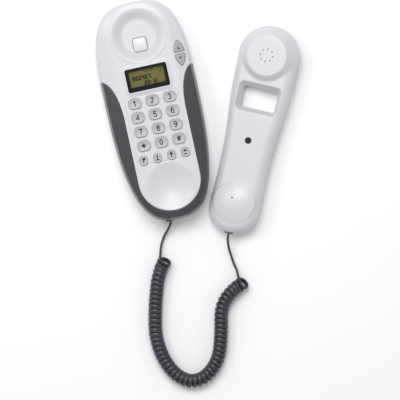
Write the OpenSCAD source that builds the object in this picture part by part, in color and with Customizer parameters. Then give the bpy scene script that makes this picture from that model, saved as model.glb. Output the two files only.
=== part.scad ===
// Slimline wall phone lying on its back, with the handset beside it and the curly cord between.
// The base lies along Y with its back on z = 0, and the dial side faces +Z.

/* [Which piece] */
// The node to draw, or all of them

/* [Base] */
// Half of the base's greatest width
base_half_w = 47.6; // [46.5:0.1:49]
// Height of the base's spine above its back
base_h = 34; // [33.5:0.1:36]
// Thickness of the moulded walls
wall = 2.2; // [1.8:0.1:2.6]
// Height of the rear cover's side wall
rear_h = 13; // [12.6:0.1:14]
// Length of the base
base_l = 223; // [221:1:226]

/* [Cradle] */
// Radius of the upper dish at its rim
ear_dish_r = 26.5; // [25:0.5:27.5]
// Radius of the lower dish at its rim
mouth_dish_r = 24; // [22:0.5:24.5]
// Depth of both dishes
dish_depth = 8; // [6:0.5:8.5]

/* [Keys] */
// Width of a dialling key
key_w = 13; // [11:0.1:14]
// Height of a dialling key
key_d = 10.6; // [9:0.1:11.2]
// Distance between the key columns
key_pitch_x = 17.9; // [17:0.1:18.2]
// Distance between the key rows
key_pitch_y = 14.4; // [13.8:0.1:14.6]
// Gap round every key
key_gap = 0.35; // [0.25:0.05:0.5]
// How far a key goes down
key_travel = 1; // [0.6:0.1:1.1]

/* [Handset] */
// Length of the handset
handset_l = 213; // [210:1:216]
// Thickness of the handset's grip
handset_h = 22; // [21:0.5:23]
// Wall thickness of the handset's shells
handset_wall = 2; // [1.6:0.1:2.4]
// How far the handset turns away from the base
handset_yaw = -25.3; // [-26:0.1:-24]
// How far the handset rolls on its crowned back
handset_roll = -11; // [-12:0.5:-8]

/* [Cord] */
// Outer radius of the coil
coil_r = 7.1; // [6:0.1:7.3]
// Width of the flat cord
cord_w = 4.4; // [4:0.1:4.8]
// Thickness of the flat cord
cord_t = 2.4; // [2.2:0.1:3]

/* [Hidden] */
$fn = 64;
eps = 0.01;
joint_gap = 0.3;

// Base outline: widest at waist_y, and rounded to each end by its own power curve
waist_y = 22;
top_power = 3.05;
foot_power = 2.85;
outline_steps = 20;
base_end = base_l / 2;
crown_top_y = base_l / 2 - 47;
crown_foot_y = 42 - base_l / 2;
shoulder_x = 32;
shoulder_z = base_h - 8;

// Front panel
panel_half_w = 31.5;
panel_foot_y = -70.5;
flare_y = -5;
flare_w = base_half_w - panel_half_w;
flare_power = 2.15;
band_tip_y = 38.5;

// Cradle places
ear_dish_y = 77;
mouth_dish_y = -77.5;
dish_floor_z = base_h - dish_depth;

// Display
display_y = 33.75;
display_w = 42.5;
display_d = 23.5;
frame_rise = 1.2;

// Keys
keys_y = 10.9;
func_y = -46.9;
func_pitch = 14.3;
func_w = 8.2;
func_d = 9.4;
key_top = base_h + 2.6;
cover_under_z = base_h - wall;
flange_t = 1.4;
flange_w = 1.1;
key_flange_top = cover_under_z - 0.4;
arrow_x = 36.9;
arrow_y = 51.2;
arrow_half_w = 5.3;
arrow_half_l = 13.5;
arrow_arc_r = (arrow_half_l * arrow_half_l + arrow_half_w * arrow_half_w) / (2 * arrow_half_w);
arrow_split = 2.4;
arrow_gap = 0.35;

// Inside the base
board_z = 23.4;
board_t = 1.6;
mat_z = board_z + board_t;
mat_t = key_flange_top - flange_t - key_travel - 0.2 - mat_z;

// Hook
hook_y = 67.5;
hook_w = 14;
hook_d = 15;
hook_top = dish_floor_z + 5.5;
hook_low = 18.5;
switch_h = 8.8;
switch_top = wall + switch_h;

// Battery bay
bay_w = 50;
bay_low = -20.4;
bay_high = 18;
bay_h = wall + 12.8;
door_gap = 0.4;
door_axis_y = -17.5;
door_axis_z = 2.3;
cell_r = 5.2;
cell_l = 44.5;

// Wall mounting
keyhole_pitch = 83;
keyhole_r = 4.5;
keyhole_slot_r = 2.3;
keyhole_drop = 8;

// Jacks
jack_z = wall + 4.8;
base_jack_x = -8.5;
base_jack_w = 10.6;
base_jack_h = 9.4;
line_jack_w = 13;
line_jack_h = 10;
plug_w = 7.6;
plug_h = 6.4;
plug_l = 12;

// Handset frame: its middle in the base's frame, and the lift that keeps its crowned back off the table
handset_at = [base_half_w + 46.5, 70.7 - base_end, 1.4];
handset_end = handset_l / 2;
crown_r = 60;
ear_end_r = 31;
mouth_end_r = 26;
ear_end_y = handset_end - ear_end_r;
mouth_end_y = mouth_end_r - handset_end;
split_z = 11;
ear_y = 75.6;
ear_r = 27;
ear_top_r = 20.5;
ear_rise = 6;
mouth_y = -75;
mouth_r = 22;
mouth_rise = 5;
dome_r = (mouth_r * mouth_r + mouth_rise * mouth_rise) / (2 * mouth_rise);
window_y = 31.6;
window_w = 36;
window_d = 21.5;
funnel_w = 43.5;
funnel_d = 29;
plug_hole_y = -11.5;
plug_hole_r = 3.3;

// Colours
shell_white = [0.9, 0.9, 0.91];
band_grey = [0.31, 0.32, 0.33];
key_grey = [0.6, 0.61, 0.63];
arrow_grey = [0.66, 0.66, 0.67];
black = [0.08, 0.08, 0.09];
cord_grey = [0.28, 0.27, 0.31];
lcd_green = [0.42, 0.43, 0.22];
board_green = [0.1, 0.35, 0.18];
steel = [0.72, 0.72, 0.74];
gold = [0.8, 0.65, 0.3];
rubber_grey = [0.45, 0.45, 0.47];

// The curly cord's route over the table
coil_route = [
    [-21.5, -149.5, 7.4], [-26, -154.5, 7.4], [-30, -161, 7.4], [-34, -169.5, 7.4],
    [-37.5, -180, 7.4], [-41, -191.5, 7.4], [-44, -204, 7.4], [-46.5, -216.5, 7.4],
    [-47, -229, 7.4], [-45.5, -241.5, 7.4], [-41.5, -254.5, 7.4], [-34.5, -266, 7.4],
    [-23.5, -274, 7.4], [-10.5, -274, 7.4], [0.5, -267.5, 7.4], [8, -259, 7.4],
    [12.5, -250, 7.4], [16, -239, 7.4], [19, -227.5, 7.4], [21.5, -216, 7.4],
    [25.5, -206.5, 7.4], [32, -199, 7.4], [40.5, -193, 7.4], [50.5, -188.5, 7.4]
];
// The plain lead at the base's end
base_lead_route = [
    [-8.5, -112.2, 7], [-8.5, -114, 7], [-10.5, -117.5, 6], [-14.2, -121.8, 4.4],
    [-17.5, -125.5, 3.4], [-20.5, -130, 2.8], [-23, -135.2, 2.6], [-24.6, -140, 3.4]
];
// The plain lead at the handset's end
handset_lead_route = [
    [51.5, -183.5, 6], [48.8, -180, 4.4], [46.5, -175.5, 3.2], [45.2, -169, 2.6],
    [44.4, -162, 2.7], [43.8, -156, 4], [43.5, -151, 6.2], [43.7, -146, 9.4]
];

// The wires inside the base and the handset
jack_wire_route = [
    [base_jack_x, 15.5 - base_end, jack_z], [base_jack_x - 0.2, 20.5 - base_end, 8],
    [base_jack_x - 3, 27.5 - base_end, 11], [-14, -74, 15], [-16, -64, 18], [-16, -54, 19],
    [-15, -48, 21], [-15, -47.5, 23.7]
];
line_wire_route = [
    [0, base_end - 15.7, 7], [1, base_end - 21.5, 6], [9, base_end - 27.5, 5], [15, 76, 5], [19, 66, 8],
    [14, 54, 16], [9, 47, 20], [8.5, 46, 23.7]
];
handset_wire_route = [
    [0, 15.5 - handset_end, 8], [-2, 20.5 - handset_end, 7], [-9, -79, 6], [-16, -66, 8], [-18, -40, 9],
    [-20, -10, 9.5], [-23, 20, 9.5],
    [-23, 44, 9.5], [-16, 58, 8], [-9, 68, 7], [-6, 72, 8.5], [-5.6, 72.5, 11.3]
];

// ---- Vector helpers and the tube sweep ----

function unit(v) = v / norm(v);

// Direction of a route at point i
function heading(route, i) =
    unit(route[min(i + 1, len(route) - 1)] - route[max(i - 1, 0)]);

// A ring of points across a route: half width a over the table, half height b
function ring(p, t, a, b, sides) =
    let(side = unit(cross(t, [0, 0, 1])), rise = cross(side, t))
    [for (k = [0:sides - 1]) p + side * a * cos(360 * k / sides) + rise * b * sin(360 * k / sides)];

// Flatten a list of lists by one level
function flat(lists) = [for (l = lists) for (x = l) x];

// A closed tube along a route, with oval rings
module swept_tube(route, a, b, sides) {
    n = len(route);
    rings = flat([for (i = [0:n - 1]) ring(route[i], heading(route, i), a, b, sides)]);
    walls = flat([for (i = [0:n - 2]) flat([for (k = [0:sides - 1])
        let(p = i * sides + k, q = i * sides + (k + 1) % sides)
        [[p, q, q + sides], [p, q + sides, p + sides]]])]);
    ends = [
        [for (k = [sides - 1:-1:0]) k],
        [for (k = [0:sides - 1]) (n - 1) * sides + k]
    ];
    polyhedron(points = rings, faces = concat(walls, ends), convexity = 6);
}

// ---- Shapes shared by the base's covers ----

// The base's outline seen from the front, drawn in by inset
module base_outline(inset) {
    half_w = base_half_w - inset;
    right = [for (k = [-outline_steps:outline_steps])
        let(a = 90 * k / outline_steps, power = k < 0 ? foot_power : top_power,
            reach = base_l / 2 - inset - (k < 0 ? -waist_y : waist_y))
        [half_w * pow(cos(a), 2 / power), waist_y + sign(k) * reach * pow(abs(sin(a)), 2 / power)]];
    left = [for (k = [len(right) - 2:-1:1]) [-right[k][0], right[k][1]]];
    polygon(concat(right, left));
}

// Half of the base's cross-section: spine, sloping shoulder and side wall
module shoulder_profile(inset) {
    polygon([
        [0, 0], [70, 0], [70, shoulder_z - 9 - inset], [base_half_w, shoulder_z - inset],
        [shoulder_x - inset * 0.2, base_h - 1.2 - inset], [shoulder_x - 3, base_h - inset],
        [0, base_h - inset]
    ]);
}

// Everything under the crowned front
module crown(inset) {
    for (side = [0, 1]) mirror([side, 0, 0])
        translate([0, crown_top_y, 0]) rotate([90, 0, 0])
            linear_extrude(crown_top_y - crown_foot_y) shoulder_profile(inset);
    translate([0, crown_top_y, 0]) rotate_extrude(angle = 180) shoulder_profile(inset);
    translate([0, crown_foot_y, 0]) rotate([0, 0, 180]) rotate_extrude(angle = 180) shoulder_profile(inset);
}

// The whole base as one solid between two heights
module base_body(inset, low, high) {
    intersection() {
        translate([0, 0, low]) linear_extrude(high - low) base_outline(inset);
        crown(inset);
    }
}

// Half of the front panel's edge where the side band wraps round it: straight, then flaring to the band's tip
flare_steps = 10;
panel_edge = concat(
    [[panel_half_w, panel_foot_y]],
    [for (k = [0:flare_steps]) let(t = sin(90 * k / flare_steps))
        [panel_half_w + flare_w * (1 - sqrt(max(0, 1 - pow(t, flare_power)))),
            flare_y + t * (band_tip_y - flare_y)]],
    [[base_half_w + 12.4, band_tip_y], [base_half_w + 12.4, base_l]]
);

// The front panel seen from the front, grown by gap
module panel_shape(gap) {
    for (side = [0, 1]) mirror([side, 0])
        polygon(concat([[0, base_l], [0, panel_foot_y]], [for (p = panel_edge) p + [gap, -gap]]));
    translate([0, panel_foot_y - gap]) circle(r = panel_half_w + gap);
}

// A round post with a screw hole
module post(r, hole_r, low, high) {
    difference() {
        translate([0, 0, low]) cylinder(r = r, h = high - low);
        translate([0, 0, low - 1]) cylinder(r = hole_r, h = high - low + 2);
    }
}

cover_screw_places = [[-33, 72], [33, 72]];
band_screw_places = [[-37, -38], [37, -38]];
screw_places = concat(cover_screw_places, band_screw_places);
slider_x = 26;
slider_y = 91;
ringer_at = [-9, 84.5];
board_post_places = [[-21, -44], [21, -44], [-21, 46], [21, 46]];

// ---- Base ----

module keyhole(y) {
    translate([0, y, -1]) cylinder(r = keyhole_r, h = wall + 2);
    translate([0, y + keyhole_drop, -1]) cylinder(r = keyhole_slot_r, h = wall + 2);
    translate([-keyhole_slot_r, y, -1]) cube([2 * keyhole_slot_r, keyhole_drop, wall + 2]);
}

module slider_slot(x, y) {
    translate([x - 6, y - 2.5, -1]) cube([12, 5, wall + 2]);
}

module rear_cover() {
    color(shell_white) difference() {
        union() {
            difference() {
                linear_extrude(rear_h) base_outline(0);
                translate([0, 0, wall]) linear_extrude(rear_h) base_outline(wall);
            }
            // battery bay walls
            translate([-bay_w / 2 - wall, bay_low - wall, 0])
                cube([bay_w + 2 * wall, bay_high - bay_low + 2 * wall, bay_h]);
            for (p = board_post_places) translate(p) post(3, 1, eps, board_z);
            for (p = screw_places) translate(p) post(3.6, 1.7, eps, rear_h);
        }
        // battery bay, closed by the door below
        translate([-bay_w / 2, bay_low, -1]) cube([bay_w, bay_high - bay_low, bay_h - wall + 1]);
        // hinge holes of the battery door
        translate([-bay_w / 2 - 2, door_axis_y, door_axis_z]) rotate([0, 90, 0])
            cylinder(r = 1.15, h = bay_w + 4);
        keyhole(keyhole_pitch / 2);
        keyhole(-keyhole_pitch / 2);
        slider_slot(-slider_x, slider_y);
        slider_slot(slider_x, slider_y);
        // screw heads go up from the back
        for (p = screw_places) translate([p[0], p[1], -1]) cylinder(r = 1.7, h = 4);
        for (p = screw_places) translate([p[0], p[1], -1]) cylinder(r = 3, h = 2.4);
        // rubber pads
        for (x = [-30, 30]) for (y = [-62, 62]) translate([x, y, -1]) cylinder(r = 5.1, h = 2.2);
        // ringer holes
        for (a = [0:72:288]) translate([ringer_at[0] + 5 * cos(a), ringer_at[1] + 5 * sin(a), -1])
            cylinder(r = 1.2, h = wall + 2);
        // jack mouths through the end walls
        translate([base_jack_x - base_jack_w / 2, -base_end - 1.5, jack_z - base_jack_h / 2])
            cube([base_jack_w, 8, base_jack_h]);
        translate([-line_jack_w / 2, base_end - 6.5, wall]) cube([line_jack_w, 8, rear_h]);
    }
}

module side_band() {
    color(band_grey) difference() {
        base_body(0, rear_h, base_h);
        base_body(wall, rear_h - 1, base_h);
        translate([0, 0, rear_h - 1]) linear_extrude(base_h) panel_shape(joint_gap);
    }
    color(band_grey) for (p = band_screw_places) translate(p) post(3.4, 1.2, rear_h, base_h - 5.6);
}

// One key's hole through the front cover
module key_hole(w, d) {
    r = d / 2 + key_gap;
    intersection() {
        translate([0, 0, cover_under_z - 1]) cylinder(r = w / 2 + key_gap, h = wall + 4);
        translate([-w, -r, cover_under_z - 1]) cube([2 * w, 2 * r, wall + 4]);
    }
}

// Column and row of dialling key i, counted along the rows from the top left
function key_x(i) = (i % 3 - 1) * key_pitch_x;
function key_y(i) = keys_y - floor(i / 3) * key_pitch_y;
function func_x(i) = (i - 1.5) * func_pitch;

module arrow_lens(grow) {
    off = arrow_arc_r - arrow_half_w;
    translate([arrow_x, arrow_y]) intersection() {
        translate([-off, 0]) circle(r = arrow_arc_r + grow);
        translate([off, 0]) circle(r = arrow_arc_r + grow);
    }
}

module front_cover() {
    color(shell_white) difference() {
        union() {
            intersection() {
                difference() {
                    base_body(0, rear_h, base_h);
                    base_body(wall, rear_h - 1, base_h);
                }
                translate([0, 0, rear_h - 1]) linear_extrude(base_h) panel_shape(0);
            }
            // skirt that drops behind the side band
            intersection() {
                base_body(wall, 20, base_h);
                translate([0, 0, 20]) linear_extrude(base_h) difference() {
                    panel_shape(0);
                    panel_shape(-1.8);
                    translate([-base_half_w - 12, band_tip_y - 0.5]) square([2 * base_half_w + 24, base_l]);
                }
            }
            // dish cups
            translate([0, ear_dish_y, dish_floor_z - wall])
                cylinder(r1 = ear_dish_r - 3, r2 = ear_dish_r + 1.5, h = dish_depth + wall - 0.6);
            translate([0, mouth_dish_y, dish_floor_z - wall])
                cylinder(r1 = mouth_dish_r - 3, r2 = mouth_dish_r - 0.4, h = dish_depth + wall - 0.6);
            // raised display frame
            translate([-display_w / 2 - 3, display_y - display_d / 2 - 3, cover_under_z])
                cube([display_w + 6, display_d + 6, wall + frame_rise]);
            // screw posts
            for (p = cover_screw_places) translate(p) post(3.6, 1.2, rear_h, base_h - 4.6);
        }
        // dishes
        translate([0, ear_dish_y, dish_floor_z])
            cylinder(r1 = ear_dish_r - 5.5, r2 = ear_dish_r, h = dish_depth + eps);
        translate([0, mouth_dish_y, dish_floor_z])
            cylinder(r1 = mouth_dish_r - 6, r2 = mouth_dish_r, h = dish_depth + eps);
        // display opening
        translate([-display_w / 2 - 0.2, display_y - display_d / 2 - 0.2, 20])
            cube([display_w + 0.4, display_d + 0.4, 20]);
        for (i = [0:11]) translate([key_x(i), key_y(i), 0]) key_hole(key_w, key_d);
        for (i = [0:3]) translate([func_x(i), func_y, 0]) rotate([0, 0, 90]) key_hole(func_d, func_w);
        // arrow keys' openings, with a bridge of the cover between them
        translate([0, 0, 18]) linear_extrude(20) difference() {
            arrow_lens(arrow_gap);
            translate([arrow_x - 10, arrow_y - arrow_split / 2 + arrow_gap])
                square([20, arrow_split - 2 * arrow_gap]);
        }
        // hook plunger's opening
        translate([-hook_w / 2 - 0.4, hook_y - hook_d / 2 - 0.4, 18]) cube([hook_w + 0.8, hook_d + 0.8, 20]);
        // line jack's mouth
        translate([-line_jack_w / 2, base_end - 6.5, rear_h - 1]) cube([line_jack_w, 8, 2]);
    }
}

module display_bezel() {
    color(black) difference() {
        union() {
            translate([-display_w / 2, display_y - display_d / 2, cover_under_z])
                cube([display_w, display_d, 2.2]);
            translate([-display_w / 2 - 2.5, display_y - display_d / 2 - 2.5, cover_under_z - 1.6])
                cube([display_w + 5, display_d + 5, 1.6]);
        }
        translate([-18, display_y - 7.5, 20]) cube([36, 17, 20]);
    }
}

module display_lens() {
    color([0.3, 0.32, 0.3]) translate([-display_w / 2, display_y - display_d / 2, cover_under_z + 2.2])
        cube([display_w, display_d, 1]);
}

module lcd_panel() {
    color(lcd_green) translate([-20, display_y - 11, cover_under_z - 1.6 - 2.8]) cube([40, 22, 2.8]);
}

module lcd_connector() {
    color(rubber_grey) translate([-17, display_y - 10, mat_z]) cube([34, 2, cover_under_z - 4.4 - mat_z]);
}

// A key with its round ends, its flange under the cover and a shallow dish in its top
module push_key(x, y, w, d, turn) {
    color(key_grey) translate([x, y, 0]) rotate([0, 0, turn]) difference() {
        union() {
            intersection() {
                translate([0, 0, key_flange_top - eps]) cylinder(r = w / 2, h = key_top - key_flange_top);
                translate([-w, -d / 2, 20]) cube([2 * w, d, 30]);
            }
            translate([0, 0, key_flange_top - flange_t]) intersection() {
                cylinder(r = w / 2 + flange_w, h = flange_t);
                translate([-w, -d / 2 - flange_w, 0]) cube([2 * w, d + 2 * flange_w, flange_t]);
            }
        }
        translate([0, 0, key_top + 17.4]) sphere(r = 18);
    }
}

module key_1() { push_key(key_x(0), key_y(0), key_w, key_d, 0); }
module key_2() { push_key(key_x(1), key_y(1), key_w, key_d, 0); }
module key_3() { push_key(key_x(2), key_y(2), key_w, key_d, 0); }
module key_4() { push_key(key_x(3), key_y(3), key_w, key_d, 0); }
module key_5() { push_key(key_x(4), key_y(4), key_w, key_d, 0); }
module key_6() { push_key(key_x(5), key_y(5), key_w, key_d, 0); }
module key_7() { push_key(key_x(6), key_y(6), key_w, key_d, 0); }
module key_8() { push_key(key_x(7), key_y(7), key_w, key_d, 0); }
module key_9() { push_key(key_x(8), key_y(8), key_w, key_d, 0); }
module key_star() { push_key(key_x(9), key_y(9), key_w, key_d, 0); }
module key_0() { push_key(key_x(10), key_y(10), key_w, key_d, 0); }
module key_hash() { push_key(key_x(11), key_y(11), key_w, key_d, 0); }
module func_key_1() { push_key(func_x(0), func_y, func_d, func_w, 90); }
module func_key_2() { push_key(func_x(1), func_y, func_d, func_w, 90); }
module func_key_3() { push_key(func_x(2), func_y, func_d, func_w, 90); }
module func_key_4() { push_key(func_x(3), func_y, func_d, func_w, 90); }

// Half of the arrow lens: 1 above the split, -1 below it. Its top follows the shoulder.
module arrow_key(half) {
    color(arrow_grey) intersection() {
        translate([0, 0, 21.5]) linear_extrude(14) arrow_lens(0);
        translate([20, half > 0 ? arrow_y + arrow_split / 2 : arrow_y - 30 - arrow_split / 2, 0])
            cube([30, 30, 40]);
        translate([0, 90, 1.6]) rotate([90, 0, 0]) linear_extrude(80) shoulder_profile(0);
    }
}

module key_up() { arrow_key(1); }
module key_down() { arrow_key(-1); }

module keypad_mat() {
    mat_w = 55.6;
    mat_low = -53.6;
    mat_high = 18.5;
    color(rubber_grey) difference() {
        translate([-mat_w / 2, mat_low, mat_z]) cube([mat_w, mat_high - mat_low, cover_under_z - mat_z]);
        translate([-mat_w / 2 + 0.6, mat_low + 0.6, mat_z + mat_t])
            cube([mat_w - 1.2, mat_high - mat_low - 1.2, 20]);
    }
}

module main_board() {
    color(board_green) difference() {
        translate([-28, -52, board_z]) cube([56, 102, board_t]);
        for (p = board_post_places) translate([p[0], p[1], board_z - 1]) cylinder(r = 1, h = board_t + 2);
    }
}

module hook_plunger() {
    color(shell_white) difference() {
        union() {
            translate([-hook_w / 2, hook_y - hook_d / 2, hook_low]) cube([hook_w, hook_d, hook_top - hook_low]);
            translate([-hook_w / 2 - 1.2, hook_y - hook_d / 2 - 1.2, hook_low])
                cube([hook_w + 2.4, hook_d + 2.4, 1.6]);
        }
        translate([0, hook_y, hook_low - 1]) cylinder(r = 4, h = 5);
    }
}

module hook_spring() {
    color(steel) translate([0, hook_y, switch_top]) difference() {
        cylinder(r = 3.4, h = hook_low + 4 - switch_top);
        translate([0, 0, -1]) cylinder(r = 2.6, h = 20);
    }
}

module hook_switch() {
    color(black) union() {
        translate([-8, hook_y - 6, wall]) cube([16, 12, switch_h]);
        translate([0, hook_y, wall]) cylinder(r = 2, h = 11.5);
    }
}

module ringer_disc() {
    color(gold) translate([ringer_at[0], ringer_at[1], wall]) difference() {
        cylinder(r = 9, h = 4);
        translate([0, 0, -1]) cylinder(r = 7, h = 4);
    }
}

// A slide switch's knob in its slot, with its foot inside
module slider_knob(x, y) {
    translate([x - 5.4, y - 2.2, 0.4]) cube([5, 4.4, wall - 0.4 + 0.3]);
    translate([x - 6.6, y - 3.6, wall + 0.3]) cube([8, 7.2, 2]);
}

module ringer_slider() { color(black) slider_knob(-slider_x, slider_y); }
module dial_mode_slider() { color(black) slider_knob(slider_x, slider_y); }

module battery_door() {
    color(shell_white) union() {
        translate([-bay_w / 2 + door_gap, -18.3, 0])
            cube([bay_w - 2 * door_gap, bay_high + 18.3 - door_gap, 2]);
        for (side = [-1, 1]) translate([side * (bay_w / 2 - 2.4), door_axis_y, door_axis_z]) rotate([0, 90, 0])
            cylinder(r = 1.1, h = 6.4, center = true);
    }
}

module batteries() {
    color([0.35, 0.4, 0.5]) for (i = [-1:1]) translate([-cell_l / 2, i * 11 + 0.5, 7.5]) rotate([0, 90, 0])
        cylinder(r = cell_r, h = cell_l);
}

module battery_contacts() {
    color(steel) for (side = [0, 1]) mirror([side, 0, 0])
        translate([cell_l / 2 + 0.1, -15.6, 3.2]) cube([0.5, 32, 8.6]);
}

// A jack body with its mouth towards -Y, open for a plug
module jack_body(w, h, l, mouth_w, mouth_h) {
    difference() {
        translate([-w / 2, 0, -h / 2]) cube([w, l, h]);
        translate([-mouth_w / 2, -1, -mouth_h / 2]) cube([mouth_w, l - 1, mouth_h]);
    }
}

module line_jack() {
    color(black) translate([0, base_end - 1.1, wall + line_jack_h / 2]) rotate([0, 0, 180])
        jack_body(line_jack_w - 0.4, line_jack_h, 15, 9.8, 6.8);
}

module base_jack() {
    color(black) translate([base_jack_x, 0.9 - base_end, jack_z])
        jack_body(base_jack_w - 0.4, base_jack_h - 0.2, 15, plug_w + 0.1, plug_h + 0.1);
}

module base_plug() {
    color([0.5, 0.5, 0.52]) translate([base_jack_x - plug_w / 2, -base_end - 0.7, jack_z - plug_h / 2])
        cube([plug_w, plug_l, plug_h]);
}

module cover_screws() {
    color(steel) for (p = screw_places) translate([p[0], p[1], 0]) union() {
        translate([0, 0, 1.4 - 0.9]) cylinder(r = 2.8, h = 0.9);
        translate([0, 0, 1.3]) cylinder(r = 1.15, h = 20);
    }
}

module rubber_pads() {
    color(rubber_grey) for (x = [-30, 30]) for (y = [-62, 62]) translate([x, y, 0]) cylinder(r = 5, h = 1.2);
}

module base_wiring() {
    color([0.7, 0.2, 0.2]) union() {
        swept_tube(jack_wire_route, 1, 1, 8);
        swept_tube(line_wire_route, 1, 1, 8);
    }
}

// ---- Handset ----

// Moves from the handset's own frame to the base's frame
module place_handset() {
    translate(handset_at) rotate([0, 0, handset_yaw]) rotate([0, handset_roll, 0]) children();
}

// The same move for one point
function placed(p) =
    let(x = p[0] * cos(handset_roll) + p[2] * sin(handset_roll),
        z = -p[0] * sin(handset_roll) + p[2] * cos(handset_roll))
    handset_at + [
        x * cos(handset_yaw) - p[1] * sin(handset_yaw),
        x * sin(handset_yaw) + p[1] * cos(handset_yaw),
        z
    ];

// Half of the handset's waist between its two round ends
waist = [[30.9, 52], [30, 33], [28.2, 13], [26.2, -7], [25.2, -27], [24.9, -47], [25.4, -64], [26, -80.5]];

module handset_outline(inset) {
    for (side = [0, 1]) mirror([side, 0])
        polygon(concat([[0, ear_end_y], [ear_end_r - inset, ear_end_y]],
            [for (p = waist) p - [inset, 0]], [[0, mouth_end_y]]));
    translate([0, ear_end_y]) circle(r = ear_end_r - inset);
    translate([0, mouth_end_y]) circle(r = mouth_end_r - inset);
}

// The handset's crowned body as one solid between two heights
module handset_body(inset, low, high) {
    intersection() {
        translate([0, 0, low]) linear_extrude(high - low) handset_outline(inset);
        translate([0, 120, crown_r]) rotate([90, 0, 0]) cylinder(r = crown_r - inset, h = 240, $fn = 128);
        translate([0, 120, 0]) rotate([90, 0, 0]) linear_extrude(240) polygon([
            [-40, -1], [40, -1], [40, handset_h - 11], [22 - inset, handset_h - inset],
            [inset - 22, handset_h - inset], [-40, handset_h - 11]
        ]);
    }
}

module ear_cup(inset) {
    translate([0, ear_y, handset_h - 3]) cylinder(r = ear_r - inset, h = 3);
    translate([0, ear_y, handset_h]) cylinder(r1 = ear_r - inset, r2 = ear_top_r - inset, h = ear_rise - inset);
}

module mouth_cup(inset) {
    intersection() {
        translate([0, mouth_y, handset_h + mouth_rise - dome_r]) sphere(r = dome_r - inset, $fn = 96);
        translate([0, mouth_y, handset_h - 4]) cylinder(r = mouth_r - inset, h = 20);
    }
}

// The window's funnel from the face, then straight to the back
module window_cut() {
    hull() {
        translate([-funnel_w / 2, window_y - funnel_d / 2 + 1, handset_h]) cube([funnel_w, funnel_d, 2]);
        translate([-window_w / 2, window_y - window_d / 2, handset_h - 6]) cube([window_w, window_d, 0.1]);
    }
    translate([-window_w / 2, window_y - window_d / 2, -5]) cube([window_w, window_d, 40]);
}

module window_wall(low, high, w, d) {
    translate([-w / 2, window_y - d / 2 + 0.5, low]) cube([w, d, high - low]);
}

module handset_inner_shell() {
    color(shell_white) place_handset() difference() {
        union() {
            difference() {
                union() {
                    handset_body(0, split_z, handset_h);
                    ear_cup(0);
                    mouth_cup(0);
                }
                handset_body(handset_wall, split_z - 1, handset_h);
                ear_cup(handset_wall);
                mouth_cup(handset_wall);
            }
            window_wall(split_z, handset_h - 8, window_w + 4, window_d + 5);
            window_wall(handset_h - 8, handset_h - eps, funnel_w + 3, funnel_d + 3);
            translate([0, plug_hole_y, 0]) post(4.8, 1.7, split_z, handset_h - eps);
        }
        window_cut();
        for (a = [0:45:315]) translate([6.5 * cos(a), ear_y + 6.5 * sin(a), handset_h])
            cylinder(r = 0.8, h = 10, $fn = 24);
        translate([0, mouth_y + 4, handset_h]) cylinder(r = 0.75, h = 10, $fn = 24);
        translate([0, plug_hole_y, handset_h - 6.5]) cylinder(r = plug_hole_r + 0.05, h = 10);
        translate([-base_jack_w / 2, -handset_end - 3.5, split_z - base_jack_h / 2])
            cube([base_jack_w, 10, base_jack_h]);
    }
}

module handset_outer_shell() {
    color(shell_white) place_handset() difference() {
        union() {
            difference() {
                handset_body(0, -1, split_z);
                handset_body(handset_wall, -1, split_z + 1);
            }
            intersection() {
                window_wall(0, split_z, window_w + 4, window_d + 5);
                handset_body(0, -1, split_z);
            }
            translate([0, plug_hole_y, 0]) post(3.6, 1.2, handset_wall - 0.5, split_z);
        }
        window_cut();
        translate([-base_jack_w / 2, -handset_end - 3.5, split_z - base_jack_h / 2])
            cube([base_jack_w, 10, base_jack_h]);
    }
}

module receiver_capsule() {
    color(steel) place_handset() translate([0, ear_y, handset_h - 6]) union() {
        cylinder(r = 16, h = 8.5);
        translate([0, 0, -5]) cylinder(r = 9, h = 6);
    }
}

module receiver_gasket() {
    color(black) place_handset() translate([0, ear_y, handset_h + 2.5]) difference() {
        cylinder(r = 16, h = 1.5);
        translate([0, 0, -1]) cylinder(r = 12.5, h = 4);
    }
}

module microphone() {
    color(steel) place_handset() translate([0, mouth_y + 4, handset_h - 4.5]) cylinder(r = 4.75, h = 5);
}

module microphone_boot() {
    color(black) place_handset() translate([0, mouth_y + 4, handset_h - 6]) difference() {
        cylinder(r = 6.2, h = 7.4);
        translate([0, 0, 1.5]) cylinder(r = 4.8, h = 10);
    }
}

module handset_weight() {
    color(steel) place_handset() translate([-12, -58, 4.2]) cube([24, 36, 7]);
}

module handset_jack() {
    color(black) place_handset() translate([0, 0.9 - handset_end, split_z])
        jack_body(base_jack_w - 0.4, base_jack_h - 0.2, 15, plug_w + 0.1, plug_h + 0.1);
}

module handset_plug() {
    color([0.5, 0.5, 0.52]) place_handset() translate([-plug_w / 2, -handset_end - 0.7, split_z - plug_h / 2])
        cube([plug_w, plug_l, plug_h]);
}

module handset_screw() {
    color(steel) place_handset() translate([0, plug_hole_y, 0]) union() {
        translate([0, 0, handset_h - 6.5]) cylinder(r = 2.8, h = 1.6);
        translate([0, 0, 4]) cylinder(r = 1.15, h = handset_h - 10);
    }
}

module screw_plug() {
    color(black) place_handset() translate([0, plug_hole_y, handset_h - 4]) cylinder(r = plug_hole_r, h = 3.7);
}

module handset_wiring() {
    color([0.7, 0.2, 0.2]) place_handset() swept_tube(handset_wire_route, 1, 1, 8);
}

// ---- Curly cord ----

handset_exit = placed([0, -107.2, split_z]);
handset_back = placed([0, -103.2, split_z]);
handset_tail = handset_exit + 4 * unit(handset_exit - handset_back);
coil_start = coil_route[0];
coil_end = coil_route[len(coil_route) - 1];

module cord_lead_base() {
    color(cord_grey) swept_tube(
        concat(base_lead_route, [coil_start - 3 * heading(coil_route, 0), coil_start]),
        cord_t / 2, cord_w / 2, 8);
}

module cord_coil() {
    color(cord_grey) swept_tube(coil_route, coil_r, coil_r, 16);
}

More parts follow.
